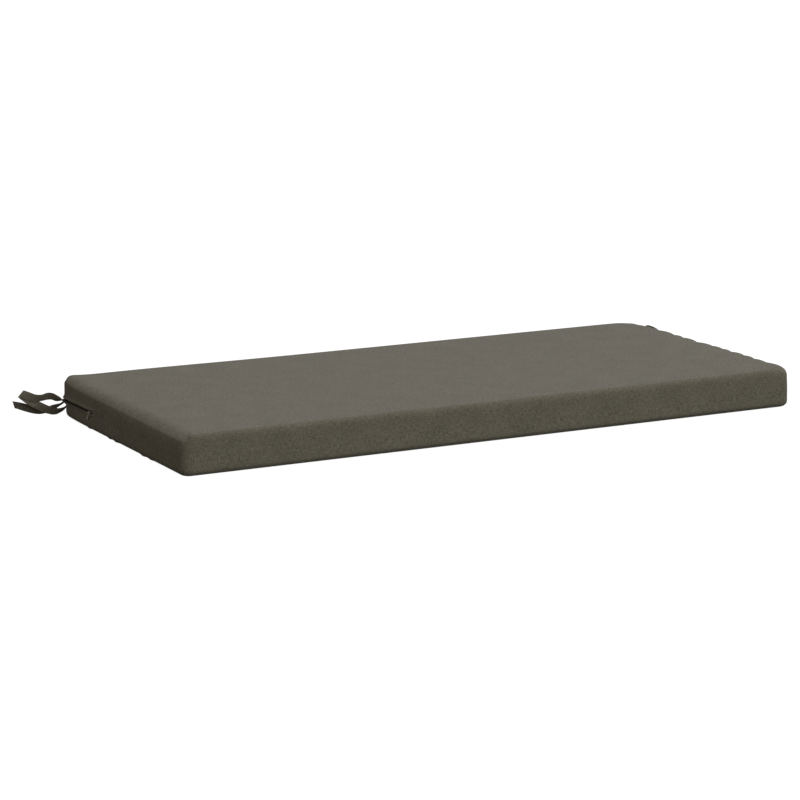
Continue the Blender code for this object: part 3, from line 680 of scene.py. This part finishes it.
def boxShell(x, y, z):
    # the box's surface as a grid of quads through the stations, with its cloth laid out flat in metres: top,
    # front, bottom and back in one run, and the end panels clear of it
    ids, points, faces, flats = {}, [], [], []
    thick, half = cushion["thickness"], cushion["depth"] / 2
    leftLay, rightLay = cushion["endLay"]["left"], cushion["endLay"]["right"]

    def corner(i, j, k):
        if (i, j, k) not in ids:
            ids[(i, j, k)] = len(points)
            points.append((x[i], y[j], z[k]))
        return ids[(i, j, k)]

    def addFace(cells, lay, turn):
        cells = cells if turn else cells[::-1]
        faces.append([corner(*cell) for cell in cells])
        flats.extend(lay(x[i], y[j], z[k]) for i, j, k in cells)

    lastX, lastY, lastZ = (len(values) - 1 for values in (x, y, z))
    for i in range(lastX):
        for j in range(lastY):
            for k, lay, turn in ((lastZ, lambda a, b, c: (a, b), True),
                                 (0, lambda a, b, c: (a, -b - thick - 2 * half), False)):
                addFace([(i, j, k), (i + 1, j, k), (i + 1, j + 1, k), (i, j + 1, k)], lay, turn)
    for i in range(lastX):
        for k in range(lastZ):
            for j, lay, turn in ((0, lambda a, b, c: (a, c - thick - half), True),
                                 (lastY, lambda a, b, c: (a, half + thick - c), False)):
                addFace([(i, j, k), (i + 1, j, k), (i + 1, j, k + 1), (i, j, k + 1)], lay, turn)
    for j in range(lastY):
        for k in range(lastZ):
            for i, lay, turn in ((0, lambda a, b, c: (b + leftLay, c), False),
                                 (lastX, lambda a, b, c: (b + rightLay, c), True)):
                addFace([(i, j, k), (i, j + 1, k), (i, j + 1, k + 1), (i, j, k + 1)], lay, turn)
    return np.array(points), faces, np.array(flats)


def addClothMesh(name, points, faces, flats, cloth):
    mesh = bpy.data.meshes.new(name)
    mesh.from_pydata([tuple(point) for point in points], [], faces)
    layer = mesh.uv_layers.new(name="cloth")
    layer.data.foreach_set("uv", np.asarray(flats, np.float32).ravel())
    mesh.validate()
    mesh.shade_smooth()
    mesh.materials.append(cloth)
    return addObject(name, mesh)


def makeCushion(cloth):
    box, faces, flats = boxShell(*cushionStations())
    made = addClothMesh("filled_cover", shapeCushion(box), faces, flats, cloth)
    made.data.set_sharp_from_angle(angle=math.radians(cushion["sharpAngle"]))
    return made


# ties: flat tails of folded, stitched cloth. Rows in mm from the end face, the back face and the zip line at
# the corner, and the roll in degrees: 0 where the tail lies flat, -90 where it stands on edge.
ties = {
    "width": 0.015,
    "thickness": 0.0010,
    "steps": 78,
    "section": (  # place across in widths, half thickness in thicknesses; thinner along its line of stitches
        (-0.5, 0.05), (-0.49, 0.30), (-0.46, 0.50), (-0.40, 0.52), (-0.34, 0.44), (-0.31, 0.36),
        (-0.28, 0.44), (-0.2, 0.5), (0.0, 0.47), (0.2, 0.5), (0.34, 0.5), (0.42, 0.5), (0.47, 0.46),
        (0.495, 0.28), (0.5, 0.05),
    ),
    "underLay": 0.05,  # the under face lies this far beside the upper on the flat cloth
    "rootShare": 0.22,
    "rootPinch": 0.75,  # narrower where it's sewn in
    "rootAlongBack": -3.0,  # a root less deep than this, in mm, is sewn in along the back
    "bunch": 3.0,  # times its own thickness, where the cloth is bunched as it comes round the corner
    "bunchFrom": (-18.0, -11.0),  # mm from the end face, starting and full
    "bunchTo": (8.0, 17.0),  # still full, and flat again
    "cutShare": 0.2,
    "cuts": {"upper": 8.0, "lower": -12.5, "crossing": 0.0},  # mm by which the cut end slants
    "rightDroop": {"lower": 5.0, "crossing": 17.0},  # mm that these hang lower at their ends than on the left
    "rows": {
        "tie_left_upper": (
            (-6.1, -8.3, 0.3, 0), (-1.6, -5.0, -1.2, -8), (7.2, -1.5, 1.2, -44), (15.5, 2.0, 5.2, -61),
            (23.7, 4.0, 5.9, -68), (35.0, 4.0, 4.1, -62), (47.9, 3.0, 5.0, -70), (61.0, 2.0, 10.2, -78),
            (74.8, 0.0, 15.9, -95),
        ),
        "tie_left_lower": (
            (-20.0, -1.8, 0.0, 0), (-14.5, 2.6, -0.8, 0), (-5.1, 8.4, -10.4, -12), (7.2, 13.0, -16.3, -37),
            (24.9, 20.0, -23.2, -53), (39.4, 21.0, -21.5, -57), (54.4, 21.0, -15.9, -62),
            (68.9, 19.0, -10.1, -59), (81.2, 18.0, -6.4, -55),
        ),
        "tie_left_crossing": (
            (-45.0, -1.8, 0.0, 0), (-38.5, 2.8, -0.4, 0), (-30.0, 7.8, -3.5, -8), (-20.0, 9.5, -10.0, -19),
            (-10.3, 8.5, -19.5, -33), (0.7, 7.0, -22.8, -43), (8.5, 8.0, -23.1, -58), (17.4, 8.0, -20.8, -66),
            (28.7, 8.0, -15.8, -80), (41.2, 9.0, -9.0, -106), (57.4, 8.0, 0.7, -112), (72.0, 6.0, 12.6, -110),
        ),
        "tie_right_upper": (
            (-6.1, -8.3, 0.3, 0), (-1.6, -5.0, 1.4, -8), (8.0, -1.0, 8.8, -24), (17.0, 2.5, 20.8, -46),
            (28.0, 4.0, 20.0, -46), (42.0, 4.0, 12.4, -60), (55.0, 3.0, 0.6, -78), (68.0, 1.0, -7.7, -90),
        ),
    },
}


def between(rows, position):
    # a smooth row between a table's rows (Catmull-Rom)
    last = len(rows) - 1
    index = min(int(position), last - 1)
    share = position - index
    nearby = [rows[min(max(index + step, 0), last)] for step in (-1, 0, 1, 2)]
    before, start, end, after = np.array(nearby, float)
    return 0.5 * (2 * start + (end - before) * share + (2 * before - 5 * start + 4 * end - after) * share**2
                  + (3 * start - before - 3 * end + after) * share**3)


def bunchAt(out):
    # how many times its own thickness a tail is, at this distance out from the end face in mm
    (start, full), (last, flat) = ties["bunchFrom"], ties["bunchTo"]
    share = softStep((out - start) / (full - start)) * (1 - softStep((out - last) / (flat - last)))
    return 1 + (ties["bunch"] - 1) * float(share)


def tieRows(rows, cut):
    # centres, widths, directions and bunching along one tail at the left-hand corner
    steps = ties["steps"]
    table = [between(rows, (len(rows) - 1) * step / steps) for step in range(steps + 1)]
    cornerX, cornerY, cornerZ = -cushion["length"] / 2, cushion["depth"] / 2, zipper["height"]
    centres = [Vector((cornerX - out * mm, cornerY + back * mm, cornerZ + up * mm))
               for out, back, up, roll in table]
    upright = Vector((0.0, 0.0, 1.0))
    root = (centres[1] - centres[0]).cross(upright).normalized()
    if rows[0][1] > ties["rootAlongBack"]:
        root = Vector((1.0, 0.0, 0.0))
    placed = []
    for step, centre in enumerate(centres):
        roll = math.radians(table[step][3])
        along = (centres[min(step + 1, steps)] - centres[max(step - 1, 0)]).normalized()
        level = along.cross(upright).normalized()
        spread = float(softStep(step / (ties["rootShare"] * steps)))
        level = root.lerp(level, spread).normalized()
        standing = level.cross(along).normalized()
        width = level * math.cos(roll) + standing * math.sin(roll)
        lean = along * cut * mm * float(softStep(1 - (1 - step / steps) / ties["cutShare"]))
        pinch = ties["rootPinch"] + (1 - ties["rootPinch"]) * spread
        placed.append((centre, width * ties["width"] * pinch + lean, along, bunchAt(table[step][0])))
    return placed


def tailStitches(placed, flip):
    # the line of stitches on both faces, from outside the cover to just before the cut end
    lines = []
    for face in (1.0, -1.0):
        line = []
        for centre, width, along, bunch in placed[stitching["tailFrom"]:-stitching["tailStop"]]:
            out = along.cross(width).normalized() * face * stitching["tailHeight"] * ties["thickness"] * bunch
            point = centre + width * stitching["tailLine"] + out
            line.append((point.x * flip, point.y, point.z))
        lines.append(line)
    return lines


def makeTie(name, rows, cloth):
    placed = tieRows(rows, ties["cuts"][name.split("_")[-1]])
    flip = -1.0 if "_right_" in name else 1.0
    top = [(across, half * ties["thickness"]) for across, half in ties["section"]]
    loop = top + [(across, -half) for across, half in reversed(top)]
    size, columns = len(loop), len(top)
    points, faces, flats = [], [], []
    runs = [0.0]  # along the tail
    for ring, (centre, width, along, bunch) in enumerate(placed):
        if ring:
            runs.append(runs[-1] + (centre - placed[ring - 1][0]).length)
        normal = along.cross(width).normalized()
        for across, half in loop:
            point = centre + width * across + normal * half * bunch
            points.append((point.x * flip, point.y, point.z))
    wide = [across * ties["width"] for across, half in loop]
    for ring in range(len(placed) - 1):
        for step in range(size):
            follow = (step + 1) % size
            cells = [(ring, step), (ring, follow), (ring + 1, follow), (ring + 1, step)]
            if flip > 0:
                cells = cells[::-1]
            faces.append([r * size + s for r, s in cells])
            flats.extend((wide[s] + (ties["underLay"] if s >= columns else 0.0), runs[r]) for r, s in cells)
    for ring, turn in ((0, True), (len(placed) - 1, False)):
        for step in range(columns - 1):
            cells = [step, step + 1, size - 2 - step, size - 1 - step]
            if turn == (flip > 0):
                cells = cells[::-1]
            faces.append([ring * size + s for s in cells])
            flats.extend((wide[s], runs[ring]) for s in cells)
    made = addClothMesh(name + "_tail", points, faces, flats, cloth)
    return made, runs[-1], tailStitches(placed, flip)


def tieTables():
    # the left-hand tails, the one right-hand tail that shows, and the other two as on the left, hanging lower
    tables = dict(ties["rows"])
    for which, droop in ties["rightDroop"].items():
        rows = ties["rows"]["tie_left_" + which]
        last = len(rows) - 1
        tables["tie_right_" + which] = tuple(
            (out, back, up - droop * (index / last) ** 4, roll)
            for index, (out, back, up, roll) in enumerate(rows))
    return tables


# stitches and teeth: one small shape repeated along its lines with geometry nodes. The thread is spun
# polyester, a shade paler than the cover, with a soft gloss on its turns; the teeth are moulded nylon, black
# and satin.
stitching = {
    "pitch": 3.2 * mm,
    "size": (2.5 * mm, 0.5 * mm, 0.5 * mm),  # along its line, and the two ways across
    "unevenness": 0.15,
    "dark": "#6f6b5d",
    "pale": "#89857a",
    "grain": 0.8 * mm,
    "roughness": 0.6,
    "foldRows": (9.20 * mm, -7.20 * mm),
    "front": 0.0740,  # the fold's stitches start here on each end
    "tailLine": -0.31,  # widths from a tail's middle
    "tailHeight": 0.38,  # thicknesses from it
    "tailFrom": 20,  # steps from its root, where it's outside the cover
    "tailStop": 2,  # and from its cut end
}
chain = {
    "pitch": 1.6 * mm,
    "size": (1.0 * mm, 0.9 * mm, 2.6 * mm),
    "unevenness": 0.0,
    "dark": "#151412",
    "pale": "#2b2925",
    "grain": 1.0 * mm,
    "roughness": 0.42,
}
repeats = {  # what thread and teeth share
    "grainDetail": 2.0,
    "grainHeight": 0.1 * mm,
    "grainBump": 0.5,
    "segments": 6,
    "rings": 4,
    "seed": 7,
}
lineSteps = {  # how far apart the points of a line round the cushion are, closer at its corners
    "step": 0.004,
    "cornerCount": 8,
    "endStop": 0.021,
    "backStart": 0.024,
}


def makeGrainy(name, piece):
    made, tree, shader = newMaterial(name)
    place = addNode(tree, "ShaderNodeTexCoord").outputs["Object"]
    grain = addNode(tree, "ShaderNodeTexNoise", inputs={
        "Vector": place, "Scale": 1 / piece["grain"], "Detail": repeats["grainDetail"]})
    colour = addNode(tree, "ShaderNodeMix", {"data_type": "RGBA"}, {
        0: grain, 6: toLinear(piece["dark"]), 7: toLinear(piece["pale"])})
    bump = addNode(tree, "ShaderNodeBump", inputs={
        "Strength": repeats["grainBump"], "Distance": repeats["grainHeight"], "Height": grain})
    setInputs(tree, shader, {
        "Base Color": colour.outputs[2], "Normal": bump, "Roughness": piece["roughness"]})
    return made


def makeRepeatTree():
    # lines of edges -> a small round shape at every step along them, lying along the line
    tree = bpy.data.node_groups.new("repeat_along_lines", "GeometryNodeTree")
    for name, way, kind in (
            ("Geometry", "INPUT", "NodeSocketGeometry"),
            ("Pitch", "INPUT", "NodeSocketFloat"),
            ("Size", "INPUT", "NodeSocketVector"),
            ("Unevenness", "INPUT", "NodeSocketFloat"),
            ("Finish", "INPUT", "NodeSocketMaterial"),
            ("Geometry", "OUTPUT", "NodeSocketGeometry")):
        tree.interface.new_socket(name, in_out=way, socket_type=kind)
    given = addNode(tree, "NodeGroupInput").outputs
    lines = addNode(tree, "GeometryNodeMeshToCurve", inputs={"Mesh": given["Geometry"]})
    evened = addNode(tree, "GeometryNodeResampleCurve", {"mode": "LENGTH"}, {
        "Curve": lines, "Length": given["Pitch"]})
    turned = addNode(tree, "FunctionNodeAlignRotationToVector", {"axis": "X", "pivot_axis": "AUTO"}, {
        "Vector": addNode(tree, "GeometryNodeInputTangent")})
    shape = addNode(tree, "GeometryNodeMeshUVSphere", inputs={
        "Segments": repeats["segments"], "Rings": repeats["rings"], "Radius": 0.5})
    least = addNode(tree, "ShaderNodeMath", {"operation": "SUBTRACT"}, {0: 1.0, 1: given["Unevenness"]})
    uneven = addNode(tree, "FunctionNodeRandomValue", {"data_type": "FLOAT"}, {
        2: least, 3: 1.0, "Seed": repeats["seed"]})
    size = addNode(tree, "ShaderNodeVectorMath", {"operation": "SCALE"}, {
        0: given["Size"], "Scale": uneven.outputs[1]})
    placed = addNode(tree, "GeometryNodeInstanceOnPoints", inputs={
        "Points": evened, "Instance": shape, "Rotation": turned, "Scale": size})
    solid = addNode(tree, "GeometryNodeRealizeInstances", inputs={"Geometry": placed})
    smooth = addNode(tree, "GeometryNodeSetShadeSmooth", inputs={0: solid})
    finished = addNode(tree, "GeometryNodeSetMaterial", inputs={
        "Geometry": smooth, "Material": given["Finish"]})
    addNode(tree, "NodeGroupOutput", inputs={"Geometry": finished})
    return tree


def repeatAlong(name, lines, tree, piece, finish):
    points = [tuple(point) for line in lines for point in line]
    edges, start = [], 0
    for line in lines:
        edges += [(start + step, start + step + 1) for step in range(len(line) - 1)]
        start += len(line)
    mesh = bpy.data.meshes.new(name + "_lines")
    mesh.from_pydata(points, edges, [])
    holder = addObject(name + "_lines", mesh)
    modifier = holder.modifiers.new("repeat", "NODES")
    modifier.node_group = tree
    given = {
        "Pitch": piece["pitch"], "Size": piece["size"], "Unevenness": piece["unevenness"], "Finish": finish}
    for item in tree.interface.items_tree:
        if item.in_out == "INPUT" and item.name in given:
            modifier[item.identifier] = given[item.name]
    bpy.context.view_layer.update()
    evaluated = holder.evaluated_get(bpy.context.evaluated_depsgraph_get())
    plain = bpy.data.meshes.new_from_object(evaluated)
    plain.name = name
    made = addObject(name, plain)
    bpy.data.objects.remove(holder)
    return made


def boxRun(front, height):
    # points on the plain box at one height: from this place on the left end, round the back, to the right end
    halfX, halfY = cushion["length"] / 2, cushion["depth"] / 2
    step, count, corner = lineSteps["step"], lineSteps["cornerCount"], cushion["cornerRoll"]
    ends = [*np.arange(front, halfY - lineSteps["endStop"], step), *np.linspace(halfY - corner, halfY, count)]
    back = [*np.linspace(-halfX, -halfX + corner, count)[1:]]
    back += [*np.arange(-halfX + lineSteps["backStart"], 0.0, step)]
    left = [(-halfX, y, height) for y in ends] + [(x, halfY, height) for x in back]
    return np.array(left + [(-x, y, z) for x, y, z in reversed(left)])


def stitchLines():
    return [shapeCushion(boxRun(stitching["front"], zipper["height"] + row)) for row in stitching["foldRows"]]


def chainLine():
    # the middle of the slot, set back from the face
    box = boxRun(zipper["chainFront"], zipper["height"])
    point, facing = wrapBox(box)
    inside = point - facing * zipper["chainDepth"]
    inside[:, 2] = zipLine(box[:, 1])
    return inside


addCamera()
addStudio()
print("camera, light and floor are up")

coverMaterial = makeCloth(coverCloth)
tieMaterial = makeCloth(tieCloth)
cover = makeCushion(coverMaterial)
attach(cover, "root")
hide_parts("cushion")
print("cushion:", len(cover.data.polygons), "faces")

sewn = stitchLines()
for nodeName, nodeRows in tieTables().items():
    tail, tailLength, tailLines = makeTie(nodeName, nodeRows, tieMaterial)
    sewn += tailLines
    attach(tail, "root")
    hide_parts(nodeName)
    print(nodeName, "flat length", round(tailLength / mm, 1), "mm")

repeatTree = makeRepeatTree()
threadMaterial = makeGrainy("spun_polyester_thread", stitching)
nylonMaterial = makeGrainy("moulded_nylon", chain)
stitches = repeatAlong("stitches", sewn, repeatTree, stitching, threadMaterial)
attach(stitches, "root")
teeth = repeatAlong("zip_teeth", [chainLine()], repeatTree, chain, nylonMaterial)
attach(teeth, "root")
print("stitches:", len(stitches.data.polygons), "faces; teeth:", len(teeth.data.polygons), "faces")

sliderPaint = makeSliderPaint()
finishes = {"zip_strip": makeZipTape(), "zip_slider": sliderPaint, "zip_pull": sliderPaint}
for nodeName, finish in finishes.items():
    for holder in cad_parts[nodeName].material_slots:
        holder.material = finish
print("zip tape, slider and pull have their finishes")
